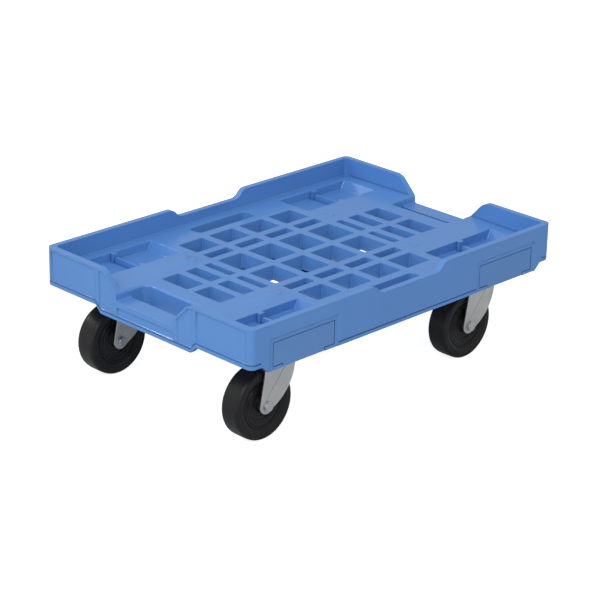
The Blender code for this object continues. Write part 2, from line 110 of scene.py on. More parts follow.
floor_shape = bmesh.new()
bmesh.ops.create_grid(floor_shape, x_segments=1, y_segments=1, size=6)
floor_mesh = bpy.data.meshes.new("floor")
floor_shape.to_mesh(floor_mesh)
floor_shape.free()
floor = linked(bpy.data.objects.new("floor", floor_mesh))
floor_paint = bpy.data.materials.new("white_floor")
floor_paint.use_nodes = True
floor_shader = floor_paint.node_tree.nodes["Principled BSDF"]
floor_shader.inputs["Base Color"].default_value = (FLOOR_GREY, FLOOR_GREY, FLOOR_GREY, 1)
floor_shader.inputs["Roughness"].default_value = 1.0
floor_shader.inputs["Specular IOR Level"].default_value = 0.0
floor_shader.inputs["Emission Color"].default_value = (1, 1, 1, 1)
seen = floor_paint.node_tree.nodes.new("ShaderNodeLightPath")
lift = floor_paint.node_tree.nodes.new("ShaderNodeMath")
lift.operation = "MULTIPLY"
lift.inputs[1].default_value = FLOOR_GLOW
floor_paint.node_tree.links.new(seen.outputs["Is Camera Ray"], lift.inputs[0])
floor_paint.node_tree.links.new(lift.outputs["Value"], floor_shader.inputs["Emission Strength"])
floor_mesh.materials.append(floor_paint)

# %% Room light and softboxes
BRIGHTEST_TOWARDS = (-0.72, -0.16, 0.68)
ROOM_FADE = {"From Min": -0.5, "From Max": 0.8, "To Min": 0.40, "To Max": 0.97}

room = bpy.data.worlds.new("white_room")
bpy.context.scene.world = room
room.use_nodes = True
room_nodes, room_links = room.node_tree.nodes, room.node_tree.links
wall_paint = room_nodes["Background"]
wall_paint.inputs["Color"].default_value = (1, 1, 1, 1)
toward = room_nodes.new("ShaderNodeTexCoord")
facing = room_nodes.new("ShaderNodeVectorMath")
facing.operation = "DOT_PRODUCT"
facing.inputs[1].default_value = BRIGHTEST_TOWARDS
room_links.new(toward.outputs["Generated"], facing.inputs[0])
dimmer = room_nodes.new("ShaderNodeMapRange")
for socket, value in ROOM_FADE.items():
    dimmer.inputs[socket].default_value = value
room_links.new(facing.outputs["Value"], dimmer.inputs["Value"])
room_links.new(dimmer.outputs["Result"], wall_paint.inputs["Strength"])


def softbox(name, direction, distance, size, power):
    """A square light that faces the middle of the deck."""
    light = bpy.data.lights.new(name, "AREA")
    light.size = size
    light.energy = power
    lamp = linked(bpy.data.objects.new(name, light))
    away = Vector(direction).normalized()
    lamp.location = AIM + away * distance
    lamp.rotation_mode = "QUATERNION"
    lamp.rotation_quaternion = (-away).to_track_quat("-Z", "Y")
    return lamp


softbox("softbox_rear_left", (-0.42, 0.72, 0.55), 2.6, 0.35, 6)
softbox("softbox_left", (-0.74, -0.22, 0.64), 3.0, 0.5, 16)
softbox("flash_front", (-0.58, -0.56, 0.59), 3.0, 0.14, 10)
print("two softboxes, a flash and a white room")

# %% [markdown]
# ## Tools for shaping
# Almost every piece here is a block, a turned part or a flat outline pushed to a thickness.
# Each helper starts from a bmesh operator, and hands back a bmesh that the next helper can go on
# with. Openings are carved with the exact Boolean modifier, whose result is read back at once.

# %% Blocks and outlines
def rounded_edges(bm, edges, radius, steps, clamp=True):
    """Round some edges of a shape."""
    bmesh.ops.bevel(
        bm, geom=edges, offset=radius, segments=steps, profile=0.5,
        affect="EDGES", material=-1, clamp_overlap=clamp,
    )
    return bm


def upright_edges(bm):
    return [e for e in bm.edges if abs(e.verts[0].co.z - e.verts[1].co.z) > 1e-5]


def block(x0, x1, y0, y1, z0, z1, corner=0.0, steps=3):
    """A box between two corners, with its upright edges rounded."""
    bm = bmesh.new()
    bmesh.ops.create_cube(bm, size=1)
    bmesh.ops.scale(bm, vec=(abs(x1 - x0), abs(y1 - y0), abs(z1 - z0)), verts=bm.verts)
    middle = ((x0 + x1) / 2, (y0 + y1) / 2, (z0 + z1) / 2)
    bmesh.ops.translate(bm, vec=middle, verts=bm.verts)
    if corner:
        rounded_edges(bm, upright_edges(bm), corner, steps)
    return bm


TURN_OUTLINE = {
    "X": Matrix(((0, 0, 1, 0), (1, 0, 0, 0), (0, 1, 0, 0), (0, 0, 0, 1))),
    "Y": Matrix(((1, 0, 0, 0), (0, 0, 1, 0), (0, 1, 0, 0), (0, 0, 0, 1))),
    "Z": Matrix.Identity(4),
}


def slab(outline, low, high, along="Z", radii=None, steps=4):
    """A flat outline, with some corners rounded, pushed from low to high along one axis."""
    bm = bmesh.new()
    corners = [bm.verts.new((a, b, low)) for a, b in outline]
    bm.faces.new(corners)
    for index, radius in (radii or {}).items():
        bmesh.ops.bevel(
            bm, geom=[corners[index]], offset=radius, segments=steps, profile=0.5,
            affect="VERTICES", material=-1,
        )
    pushed = bmesh.ops.extrude_face_region(bm, geom=bm.faces[:])
    top = [v for v in pushed["geom"] if isinstance(v, bmesh.types.BMVert)]
    bmesh.ops.translate(bm, vec=(0, 0, high - low), verts=top)
    bmesh.ops.transform(bm, matrix=TURN_OUTLINE[along], verts=bm.verts)
    bmesh.ops.recalc_face_normals(bm, faces=bm.faces)
    return bm


print("a block has", len(block(0, 1, 0, 1, 0, 1, 0.1).faces), "faces once its corners are round")

# %% [markdown]
# ## Turned parts
# Wheels, pins and rings are turned: half an outline, spun once round its axis. The outline is
# drawn as radius and height, spun about Z, and then laid along the axle.

# %% Turning
LAY_ON_AXLE = Matrix.Rotation(math.radians(-90), 4, "X")


def turned(profile, steps=64):
    """Spin a closed outline of (radius, height) points about Z."""
    bm = bmesh.new()
    ring = [bm.verts.new((radius, 0, height)) for radius, height in profile]
    edges = [bm.edges.new(pair) for pair in zip(ring, ring[1:] + ring[:1])]
    bmesh.ops.spin(
        bm, geom=ring + edges, cent=(0, 0, 0), axis=(0, 0, 1),
        angle=math.tau, steps=steps, use_merge=True,
    )
    bmesh.ops.remove_doubles(bm, verts=bm.verts, dist=1e-6)
    unused = [edge for edge in bm.edges if not edge.link_faces]
    bmesh.ops.delete(bm, geom=unused, context="EDGES")
    bmesh.ops.recalc_face_normals(bm, faces=bm.faces)
    return bm


def mm(points):
    return [(a * MM, b * MM) for a, b in points]


print("turned helper ready")

# %% Carving and copying
def gathered(shapes):
    """Several shapes that do not touch, as one."""
    group = bmesh.new()
    for shape in shapes:
        loose = bpy.data.meshes.new("loose")
        shape.to_mesh(loose)
        shape.free()
        group.from_mesh(loose)
        bpy.data.meshes.remove(loose)
    return group


def stand_in(bm, name):
    mesh = bpy.data.meshes.new(name)
    bm.to_mesh(mesh)
    bm.free()
    return linked(bpy.data.objects.new(name, mesh))


def carved(body, tool, operation="DIFFERENCE"):
    """Cut a tool out of a body, or add or intersect them."""
    base, cutter = stand_in(body, "base"), stand_in(tool, "cutter")
    step = base.modifiers.new("carve", "BOOLEAN")
    step.operation = operation
    step.solver = "EXACT"
    step.object = cutter
    result = bmesh.new()
    result.from_object(base, bpy.context.evaluated_depsgraph_get())
    for thing in (base, cutter):
        mesh = thing.data
        bpy.data.objects.remove(thing)
        bpy.data.meshes.remove(mesh)
    bmesh.ops.remove_doubles(result, verts=result.verts, dist=2e-6)
    bmesh.ops.dissolve_limit(
        result, angle_limit=math.radians(0.2), verts=result.verts, edges=result.edges,
    )
    return result


def in_four_corners(make):
    """The shapes that make(sx, sy) gives for each corner of the deck."""
    shapes = []
    for sx in (-1, 1):
        for sy in (-1, 1):
            shapes += make(sx, sy)
    return gathered(shapes)


print("helpers ready")

# %% [markdown]
# ## Grain, shared by the moulded pieces
# A moulded surface is never perfectly smooth. The steel mould is lightly sparked, so the plastic
# takes a very fine grain, and the flow of the melt leaves faint broad clouds in its colour. Both
# come from noise on object coordinates, in one node group that each material uses with its own
# scale and depth.

# %% Grain group
def new_socket(tree, name, direction, kind="NodeSocketFloat", value=None):
    socket = tree.interface.new_socket(name=name, in_out=direction, socket_type=kind)
    if value is not None:
        socket.default_value = value
    return socket


grain = bpy.data.node_groups.new("grain_and_clouds", "ShaderNodeTree")
new_socket(grain, "Grain Size", "INPUT", value=900.0)
new_socket(grain, "Cloud Size", "INPUT", value=9.0)
new_socket(grain, "Height", "OUTPUT")
new_socket(grain, "Clouds", "OUTPUT")
new_socket(grain, "Specks", "OUTPUT")
group_in = grain.nodes.new("NodeGroupInput")
group_out = grain.nodes.new("NodeGroupOutput")
where = grain.nodes.new("ShaderNodeTexCoord")


def noise(tree, scale_from, detail, rough=0.5):
    node = tree.nodes.new("ShaderNodeTexNoise")
    node.inputs["Detail"].default_value = detail
    node.inputs["Roughness"].default_value = rough
    tree.links.new(where.outputs["Object"], node.inputs["Vector"])
    if scale_from is not None:
        tree.links.new(scale_from, node.inputs["Scale"])
    return node


fine = noise(grain, group_in.outputs["Grain Size"], 3.0, 0.6)
broad = noise(grain, group_in.outputs["Cloud Size"], 4.0)
specks = noise(grain, None, 2.0)
specks.inputs["Scale"].default_value = 160.0
grain.links.new(fine.outputs["Fac"], group_out.inputs["Height"])
grain.links.new(broad.outputs["Fac"], group_out.inputs["Clouds"])
grain.links.new(specks.outputs["Fac"], group_out.inputs["Specks"])
print("group:", grain.name, "with", len(grain.nodes), "nodes")

# %% Building a material from the grain
def mixed(tree, factor, low, high):
    """A colour between two, by a factor."""
    node = tree.nodes.new("ShaderNodeMix")
    node.data_type = "RGBA"
    tree.links.new(factor, node.inputs["Factor"])
    node.inputs["A"].default_value = (*low, 1)
    node.inputs["B"].default_value = (*high, 1)
    return node.outputs["Result"]


def ranged(tree, value, low, high, start=0.3, end=0.7):
    """A number that follows a mask, between two limits."""
    node = tree.nodes.new("ShaderNodeMapRange")
    node.inputs["From Min"].default_value = start
    node.inputs["From Max"].default_value = end
    node.inputs["To Min"].default_value = low
    node.inputs["To Max"].default_value = high
    tree.links.new(value, node.inputs["Value"])
    return node.outputs["Result"]


# how far the painted crease shade reaches: another surface this close darkens the colour
PAINTED_SHADE_REACH = 3.5 * MM


def finish(
    name, dark, light, roughness, grain_size, cloud_size, depth,
    metallic=0.0, bump=0.3, gloss=0.5, painted_crease_shade=0.0,
):
    """A material whose colour, roughness and bump all follow the grain group.

    Given a shade factor, the colour is also darkened where another surface is close: painted shade
    in grooves and creases.
    """
    made = bpy.data.materials.new(name)
    made.use_nodes = True
    tree = made.node_tree
    shader = tree.nodes["Principled BSDF"]
    shader.inputs["Metallic"].default_value = metallic
    shader.inputs["Specular IOR Level"].default_value = gloss
    group = tree.nodes.new("ShaderNodeGroup")
    group.node_tree = grain
    group.inputs["Grain Size"].default_value = grain_size
    group.inputs["Cloud Size"].default_value = cloud_size
    tint = ranged(tree, group.outputs["Clouds"], 0.0, 1.0)
    base = mixed(tree, tint, dark, light)
    # painted shade: the base colour darkens where ambient occlusion finds another surface close
    # by, in grooves and creases
    if painted_crease_shade:
        near_by = tree.nodes.new("ShaderNodeAmbientOcclusion")
        near_by.samples = 8
        near_by.inputs["Distance"].default_value = PAINTED_SHADE_REACH
        open_air = ranged(tree, near_by.outputs["AO"], 0.0, 1.0, 0.35, 0.95)
        shade = mixed(tree, open_air, tuple(painted_crease_shade * part for part in dark), dark)
        tree.links.new(base, shade.node.inputs["B"])
        base = shade
    tree.links.new(base, shader.inputs["Base Color"])
    spread = ranged(tree, group.outputs["Specks"], *roughness)
    tree.links.new(spread, shader.inputs["Roughness"])
    relief = tree.nodes.new("ShaderNodeBump")
    relief.inputs["Strength"].default_value = bump
    relief.inputs["Distance"].default_value = depth
    tree.links.new(group.outputs["Height"], relief.inputs["Height"])
    tree.links.new(relief.outputs["Normal"], shader.inputs["Normal"])
    return made


# %% [markdown]
# ## The finishes
# The deck is polypropylene, dyed through: a clear mid blue with a satin skin. The label plates
# are the same plastic from another mould, a touch greyer. The steel of the forks is zinc plated
# and passivated, which leaves a pale grey with faint cool and warm patches. The wheels are black.

# %% Finishes
# the deck and the label plates carry painted crease shade, a darker colour in their grooves and
# creases
blue_plastic = finish(
    "blue_polypropylene", (0.088, 0.240, 0.575), (0.098, 0.256, 0.600), (0.16, 0.21),
    grain_size=1500, cloud_size=7, depth=0.00002, gloss=0.35, painted_crease_shade=0.55,
)
label_plastic = finish(
    "label_plate_plastic", (0.098, 0.236, 0.535), (0.108, 0.250, 0.560), (0.38, 0.48),
    grain_size=1100, cloud_size=11, depth=0.00005, gloss=0.3, painted_crease_shade=0.55,
)
zinc = finish(
    "bright_zinc", (0.54, 0.575, 0.60), (0.66, 0.66, 0.64), (0.30, 0.42),
    grain_size=700, cloud_size=34, depth=0.00005, metallic=1.0, bump=0.2,
)
bolt_zinc = finish(
    "bolt_zinc", (0.50, 0.54, 0.57), (0.64, 0.64, 0.64), (0.20, 0.30),
    grain_size=900, cloud_size=60, depth=0.00004, metallic=1.0, bump=0.2,
)
black_rubber = finish(
    "black_rubber", (0.010, 0.010, 0.011), (0.016, 0.016, 0.017), (0.30, 0.42),
    grain_size=1400, cloud_size=20, depth=0.00006, gloss=0.22,
)
black_plastic = finish(
    "black_nylon", (0.009, 0.009, 0.010), (0.015, 0.015, 0.016), (0.26, 0.38),
    grain_size=1200, cloud_size=30, depth=0.00005, gloss=0.25,
)
print("finishes:", [m.name for m in bpy.data.materials])

# %% [markdown]
# ## A finished piece
# Every shape ends the same way: where a width is given, a small bevel on the edges that are left
# sharp, because no real edge is, then smooth shading with normals that keep the flat faces flat.
# The object stays at the origin, and its place is in its mesh. It then rides on its body and
# stands for its solid.

# %% Finishing a shape
def piece(bm, name, material, body, stands_for=(), bevel=0.0, steps=2, limit=30):
    """Turn a shape into a shown piece on one of the model's bodies."""
    mesh = bpy.data.meshes.new(name)
    bm.to_mesh(mesh)
    bm.free()
    mesh.materials.append(material)
    mesh.shade_smooth()
    thing = linked(bpy.data.objects.new(name, mesh))
    if bevel:
        soften = thing.modifiers.new("softened_edges", "BEVEL")
        soften.width = bevel
        soften.segments = steps
        soften.limit_method = "ANGLE"
        soften.angle_limit = math.radians(limit)
        soften.harden_normals = True
        soften.use_clamp_overlap = False
    else:
        mesh.set_sharp_from_angle(angle=math.radians(limit))
    level_faces = thing.modifiers.new("flat_faces", "WEIGHTED_NORMAL")
    level_faces.keep_sharp = True
    level_faces.weight = 100
    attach(thing, body)
    if stands_for:
        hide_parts(*stands_for)
    return thing


# %% [markdown]
# ## Deck, step 1: the shell
# The deck starts as one block with rounded upright corners. The tray is cut from the top, the
# middle of each short side is cut down to the carrying handle, with a hand hole behind it, the rim
# of each long side dips in the middle, and the lower edge rises towards the corners to give the
# wheels room to turn.

# %% Sizes of the shell
deck_low, deck_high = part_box("deck")
HALF_X, HALF_Y = deck_high.x, deck_high.y
RIM_TOP, SKIRT_LOW = deck_high.z, deck_low.z
WALL = 9 * MM
CORNER_RADIUS = 9 * MM
TRAY = frame["record"]["mounts"][0]["pos_m"][2]
HANDLE_TOP = 147 * MM
SKIRT_HIGH = SKIRT_LOW + 10 * MM
NOTCH_SHOULDER, HANDLE_HALF = 84 * MM, 57 * MM
HOLE_INNER, BAR_INNER = 241 * MM, 268 * MM
DIP_LOW, DIP_FLAT, DIP_HALF = 173 * MM, 58 * MM, 69 * MM
OVER = 20 * MM                      # how far a cutter passes through
THROUGH = (0.10, 0.20)              # heights of a cutter that goes through the deck
print("tray at", TRAY, "rim", round(RIM_TOP - TRAY, 4), "above it")

# %% Cut the tray, the handles and the dips
shell = block(-HALF_X, HALF_X, -HALF_Y, HALF_Y, SKIRT_LOW, RIM_TOP, CORNER_RADIUS, 6)
tray_x, tray_y = HALF_X - WALL, HALF_Y - WALL
tray_tool = block(-tray_x, tray_x, -tray_y, tray_y, TRAY, RIM_TOP + OVER, 6 * MM, 5)
shell = carved(shell, tray_tool)

notch = [
    (-HANDLE_HALF, HANDLE_TOP), (HANDLE_HALF, HANDLE_TOP), (HANDLE_HALF, TRAY),
    (NOTCH_SHOULDER, RIM_TOP), (NOTCH_SHOULDER, RIM_TOP + OVER),
    (-NOTCH_SHOULDER, RIM_TOP + OVER), (-NOTCH_SHOULDER, RIM_TOP), (-HANDLE_HALF, TRAY),
]
dip = [
    (-DIP_FLAT, DIP_LOW), (DIP_FLAT, DIP_LOW), (DIP_HALF, RIM_TOP), (DIP_HALF, RIM_TOP + OVER),
    (-DIP_HALF, RIM_TOP + OVER), (-DIP_HALF, RIM_TOP),
]
for side in (-1, 1):
    ends = sorted((side * (BAR_INNER - 5 * MM), side * (HALF_X + OVER)))
    shell = carved(shell, slab(notch, *ends, along="X", radii={0: 3 * MM, 1: 3 * MM}))
    ends = sorted((side * (HALF_Y - WALL - 5 * MM), side * (HALF_Y + OVER)))
    shell = carved(shell, slab(dip, *ends, along="Y", radii={0: 6 * MM, 1: 6 * MM}))
    hand_hole = [
        (side * HOLE_INNER, -HANDLE_HALF), (side * BAR_INNER, -HANDLE_HALF),
        (side * BAR_INNER, HANDLE_HALF), (side * HOLE_INNER, HANDLE_HALF),
    ]
    hole_tool = slab(hand_hole, *THROUGH, radii={0: 9 * MM, 3: 9 * MM}, steps=6)
    shell = carved(shell, hole_tool)
print("shell so far:", len(shell.faces), "faces")

# %% Raise the lower edge at the four corners
LIFT_X, LIFT_Y = (0.275, 0.33), (0.099, 0.24)
SLOPE_X, SLOPE_Y = 22 * MM, 20 * MM


def corner_lift(sx, sy):
    """A wedge with sloping sides, wider below than above."""
    (x0, x1), (y0, y1) = LIFT_X, LIFT_Y
    tool = block(sx * x0, sx * x1, sy * y0, sy * y1, SKIRT_LOW - 10 * MM, SKIRT_HIGH)
    for vert in tool.verts:
        if vert.co.z < SKIRT_LOW:
            if abs(vert.co.x) < HALF_X:
                vert.co.x -= sx * SLOPE_X
            if abs(vert.co.y) < HALF_Y:
                vert.co.y -= sy * SLOPE_Y
    bmesh.ops.recalc_face_normals(tool, faces=tool.faces)
    return [tool]


shell = carved(shell, in_four_corners(corner_lift))
print("skirt is", round((SKIRT_HIGH - SKIRT_LOW) / MM), "mm higher at the corners")

# %% [markdown]
# The rim is the part a hand feels, so all its upper edges are generously round, and the inside
# corner between the wall and the tray has a fillet. The shoulders of the handle notch and of the
# dip are rounder still. These bevels come before the small openings are cut, while the shell has
# few edges and each one is easy to pick by where it is.

# %% Round the shoulders, the handle and the rim
def picked(bm, test):
    """Edges whose middle and direction pass a test."""
    chosen = []
    for edge in bm.edges:
        first, second = (v.co for v in edge.verts)
        if test((first + second) / 2, (second - first).normalized()):
            chosen.append(edge)
    return chosen


def near(value, target, reach=0.6 * MM):
    return abs(abs(value) - target) < reach


def outward(edge, least=40):
    """True for an edge that sticks out at more than a given angle."""
    return edge.is_manifold and edge.is_convex and edge.calc_face_angle() > math.radians(least)


ALONG_X, ALONG_Y = 0, 1
ROUNDED = (
    # direction, distance from the middle, height, radius, steps
    (ALONG_X, NOTCH_SHOULDER, RIM_TOP, 8 * MM, 5),      # shoulders of the handle notch
    (ALONG_Y, DIP_HALF, RIM_TOP, 6 * MM, 4),            # ends of the dip
    (ALONG_Y, HALF_X, HANDLE_TOP, 14 * MM, 10),         # outer edge of the handle bar
    (ALONG_Y, BAR_INNER, HANDLE_TOP, 2.5 * MM, 4),      # inner edge of the handle bar
)
for axis, place, height, radius, steps in ROUNDED:
    chosen = picked(
        shell,
        lambda m, d: abs(d[axis]) > 0.9 and near(m[1 - axis], place) and near(m.z, height),
    )
    rounded_edges(shell, chosen, radius, steps)
    print("rounded", len(chosen), "edges to", round(radius / MM, 1), "mm")
hole_edges = picked(
    shell,
    lambda m, d: near(m.z, TRAY) and abs(d.z) < 0.1
    and abs(m.x) > HOLE_INNER - 1 * MM and abs(m.y) < HANDLE_HALF + 1 * MM,
)
rounded_edges(shell, [e for e in hole_edges if outward(e, 20)], 3.6 * MM, 5)
rim_edges = [
    e for e in shell.edges
    if outward(e) and min(v.co.z for v in e.verts) > HANDLE_TOP + 1 * MM
    and max(v.co.z for v in e.verts) > TRAY + 0.5 * MM
]
rounded_edges(shell, rim_edges, 2.5 * MM, 4)
wall_feet = picked(
    shell, lambda m, d: abs(d.z) < 0.1 and abs(m.z - TRAY) < 0.3 * MM
    and (near(m.x, HALF_X - WALL, 8 * MM) or near(m.y, HALF_Y - WALL, 1 * MM)),
)
wall_feet = [e for e in wall_feet if e.is_manifold and not e.is_convex and e.calc_face_angle() > 1]
rounded_edges(shell, wall_feet, 1.6 * MM, 3)
lower_edges = [
    e for e in shell.edges
    if outward(e, 15) and max(v.co.z for v in e.verts) < SKIRT_HIGH + 0.3 * MM
]
rounded_edges(shell, lower_edges, 1.2 * MM, 3)
print("rounded", len(rim_edges), "rim edges and", len(lower_edges), "lower edges")

# %% [markdown]
# ## Deck, step 2: openings and pockets
# The middle is a grid of through openings, wide in the centre and narrow beside it. Along each
# long side is a grip slot. Above each caster the deck sinks into a pocket with sloping ends. A low
# rib and two small pillars divide it.

# %% Grid and grip slots
CELLS_X = ((6.6, 52.2), (64.8, 110.6))
CELLS_Y = ((6.4, 57.2), (70.4, 86.6), (99.2, 137.4))
SIDE_CELLS_X = ((123.4, 136.2), (149.0, 170.6), (182.4, 213.4))
GRIP_HALF, GRIP_Y = 56 * MM, (152.5 * MM, 177 * MM)


def opening(sx, sy, across, along):
    (x0, x1), (y0, y1) = across, along
    return block(sx * x0 * MM, sx * x1 * MM, sy * y0 * MM, sy * y1 * MM, *THROUGH, 2 * MM, 2)


def grid_openings(sx, sy):
    shapes = [opening(sx, sy, across, along) for across in CELLS_X for along in CELLS_Y]
    return shapes + [opening(sx, sy, across, CELLS_Y[0]) for across in SIDE_CELLS_X]


deck = carved(shell, in_four_corners(grid_openings))
grip_slots = [
    block(-GRIP_HALF, GRIP_HALF, side * GRIP_Y[0], side * GRIP_Y[1], *THROUGH, 8 * MM, 5)
    for side in (-1, 1)
]
deck = carved(deck, gathered(grip_slots))
print("deck with openings:", len(deck.faces), "faces")

# %% Pockets above the casters
POCKET_FLOOR = 145 * MM
POCKET_X, POCKET_Y = (126 * MM, 266 * MM), (115 * MM, 177 * MM)
DIVIDER = 197 * MM
LEAN_IN, LEAN_OUT = 8 * MM, 5.3 * MM        # how far the end slopes lean below and above the tray
RIB_HALF, RIB_DROP = 2.5 * MM, 5.5 * MM
PILLAR_HALF = 4.5 * MM
BELOW, ABOVE = 0.13, 0.19                   # heights safely below and above a pocket


def pocket(sx, sy):
    """A pocket with sloping ends, a low rib across it and a pillar at each end of the rib."""
    x_low, x_high = (sx * x for x in POCKET_X)
    y_low, y_high = (sy * y for y in POCKET_Y)
    tool = block(x_low, x_high, y_low, y_high, POCKET_FLOOR, TRAY + 9 * MM)
    for vert in tool.verts:
        lean = LEAN_IN if vert.co.z < TRAY else -LEAN_OUT
        vert.co.x += sx * lean * (1 if abs(vert.co.x) < DIVIDER else -1)
    creases = [e for e in tool.edges if min(v.co.z for v in e.verts) < TRAY]
    rounded_edges(tool, creases, 2.2 * MM, 3)
    middle = sx * DIVIDER
    rib = block(
        middle - RIB_HALF, middle + RIB_HALF, sy * 0.10, sy * 0.19, BELOW, TRAY - RIB_DROP,
    )
    tool = carved(tool, rib)
    pillars = [
        block(middle - PILLAR_HALF, middle + PILLAR_HALF, y0, y1, BELOW, ABOVE)
        for y0, y1 in (
            (y_low - sy * 5 * MM, y_low + sy * 6 * MM),
            (y_high - sy * 6 * MM, y_high + sy * 5 * MM),
        )
    ]
    return [carved(tool, gathered(pillars))]


deck = carved(deck, in_four_corners(pocket))
print("four pockets,", round((TRAY - POCKET_FLOOR) / MM, 1), "mm deep")

# %% Round the edges of the openings
tray_edges = picked(
    deck,
    lambda m, d: abs(m.z - TRAY) < 0.05 * MM and abs(d.z) < 0.01
    and not (abs(m.x) > HOLE_INNER - 6 * MM and abs(m.y) < HANDLE_HALF + 6 * MM),
)
opening_edges = [e for e in tray_edges if outward(e, 35)]
rounded_edges(deck, opening_edges, 0.9 * MM, 3, clamp=False)
print("rounded", len(opening_edges), "edges at the tray's level")

# %% [markdown]
# ## Deck, step 3: the underside
# A moulding keeps its walls even, so the deck is hollow below: a skirt all round, a plate with
# the grid bars, two deeper beams along its length and solid handle bars at the ends.

# %% Hollow the underside
PLATE_LOW = 136 * MM
BEAM_Y, BEAM_END, BEAM_LOW = (57.2 * MM, 70.4 * MM), 226 * MM, 126 * MM
SOLID_FROM, SOLID_HALF = 237 * MM, 61 * MM          # the solid end behind each handle
SHALLOWS = (
    # x from, x to, y from, y to, in millimetres
    (128, 176, 75, 109), (180, 232, 75, 109), (62, 112, 145, 186),
)
inner_x, inner_y = HALF_X - WALL, HALF_Y - WALL
hollow = block(-inner_x, inner_x, -inner_y, inner_y, 0.1, PLATE_LOW, 5 * MM, 3)
solids = []
for side in (-1, 1):
    solids.append(block(side * SOLID_FROM, side * 0.31, -SOLID_HALF, SOLID_HALF, 0.09, 0.17))
    beam = sorted(side * y for y in BEAM_Y)
    solids.append(block(-BEAM_END, BEAM_END, *beam, BEAM_LOW, 0.17))
hollow = carved(hollow, gathered(solids))
deck = carved(deck, hollow)


def lightening(sx, sy):
    """Deeper hollows under the plain parts of the deck."""
    top = TRAY - 4 * MM
    return [
        block(sx * x0 * MM, sx * x1 * MM, sy * y0 * MM, sy * y1 * MM, BELOW, top, 2 * MM, 2)
        for x0, x1, y0, y1 in SHALLOWS
    ]


deck = carved(deck, in_four_corners(lightening))
print("underside hollow up to", PLATE_LOW)

# %% [markdown]
# ## Deck, step 4: relief on the skirt
# The outside of the skirt carries shallow relief. A thin groove separates a lip along the lower
# edge. On the short sides the fields between the upright ribs are set back a little, so a
# raised border follows the rim and the slope of the notch. On the long sides a wide shallow frame
# holds each label plate.

# %% Fields on the short sides
SOFT_STEP = ((0.6, 0.1), (1.0, 0.8), (0.7, 0.1))   # inward in millimetres, share of the depth
FIELD_DEPTH = 1.8 * MM
CUTTER_THICK = 4 * MM


def field(outline, face, out, along, depth, radii=None):
    """A cutter for a shallow field, whose sides go down in a soft S-shaped step."""
    tool = slab(outline, *sorted((face, face + out)), along=along, radii=radii)
    axis = "XYZ".index(along)
    floor = min(tool.faces, key=lambda f: abs(f.calc_center_median()[axis] - face))
    for inward, share in SOFT_STEP:
        bmesh.ops.inset_region(
            tool, faces=[floor], thickness=inward * MM, depth=share * depth,
            use_even_offset=True, use_boundary=True,
        )
    return tool


def mirrored_outline(outline, sign):
    return [(sign * a, b) for a, b in outline][::sign]


end_field = mm([(98, 136.6), (193, 136.6), (193, 182), (98, 182)])
notch_field = mm([(61, 126.6), (89, 126.6), (93.4, 131), (93.4, 181.5), (83.6, 181.5), (61, 159)])
handle_field = mm([(-56.2, 126.6), (56.2, 126.6), (56.2, 139.5), (-56.2, 139.5)])
fields = []
for side in (-1, 1):
    outlines = [handle_field]
    for sign in (-1, 1):
        outlines += [mirrored_outline(end_field, sign), mirrored_outline(notch_field, sign)]
    for outline in outlines:
        fields.append(field(outline, side * HALF_X, side * CUTTER_THICK, "X", FIELD_DEPTH))
deck = carved(deck, gathered(fields))
print(len(outlines), "fields on each short side")

# %% Groove above the lip
GROOVE = 1.2 * MM
sleeve = carved(
    block(-HALF_X - OVER, HALF_X + OVER, -HALF_Y - OVER, HALF_Y + OVER, 0.11, 0.15),
    block(-HALF_X + GROOVE, HALF_X - GROOVE, -HALF_Y + GROOVE, HALF_Y - GROOVE, 0.10, 0.16,
          CORNER_RADIUS - GROOVE, 6),
)
# the groove's lower edge in the middle and at the corners, and its width, in millimetres
LOW, HIGH, TALL = 125.2, 135.6, 1.9
end_band = mm([
    (-230, HIGH), (-99.5, HIGH), (-89, LOW), (89, LOW), (99.5, HIGH), (230, HIGH),
    (230, HIGH + TALL), (98.7, HIGH + TALL), (88.2, LOW + TALL),
    (-88.2, LOW + TALL), (-98.7, HIGH + TALL), (-230, HIGH + TALL),
])
side_band = mm([(137.5, LOW), (-137.5, LOW), (-137.5, LOW + TALL), (137.5, LOW + TALL)])
bands = []
for side in (-1, 1):
    bands.append(slab(end_band, *sorted((side * 0.2775, side * 0.35)), along="X"))
    bands.append(slab(side_band, *sorted((side * 0.197, side * 0.25)), along="Y"))
deck = carved(deck, carved(sleeve, gathered(bands), "INTERSECT"))
lip = round(LOW - SKIRT_LOW / MM, 1)
print("groove", round(GROOVE / MM, 1), "mm deep above a lip of", lip, "mm")

# %% Frames and seats for the label plates
label_low, label_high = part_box("label_plate_front_left")
LABEL_X = -(label_low.x + label_high.x) / 2
LABEL_FACE = -label_low.y
LABEL_TOP = label_high.z
LABEL_HALF = (label_high.x - label_low.x) / 2
TONGUE_HALF = 37.5 * MM
SHOULDER = 125.5 * MM
SEAT_GAP, SEAT_DEPTH = 1.0 * MM, 3.3 * MM
PLATE_THICK = 3 * MM


def label_outline(grow, bottom):
    """A label plate's T-shape, seen from the front and centred."""
    side, tongue, step = LABEL_HALF + grow, TONGUE_HALF + grow, SHOULDER - grow
    return [
        (-tongue, bottom), (tongue, bottom), (tongue, step), (side, step),
        (side, LABEL_TOP + grow), (-side, LABEL_TOP + grow), (-side, step), (-tongue, step),
    ]


def label_frame(sx, sy):
    outline = mm([(-63.4, 110), (63.4, 110), (63.4, 166), (-63.4, 166)])
    frame_tool = field(
        outline, sy * HALF_Y, sy * CUTTER_THICK, "Y", HALF_Y - LABEL_FACE,
        radii={2: 2.5 * MM, 3: 2.5 * MM},
    )
    bmesh.ops.translate(frame_tool, vec=(sx * LABEL_X, 0, 0), verts=frame_tool.verts)
    return [frame_tool]


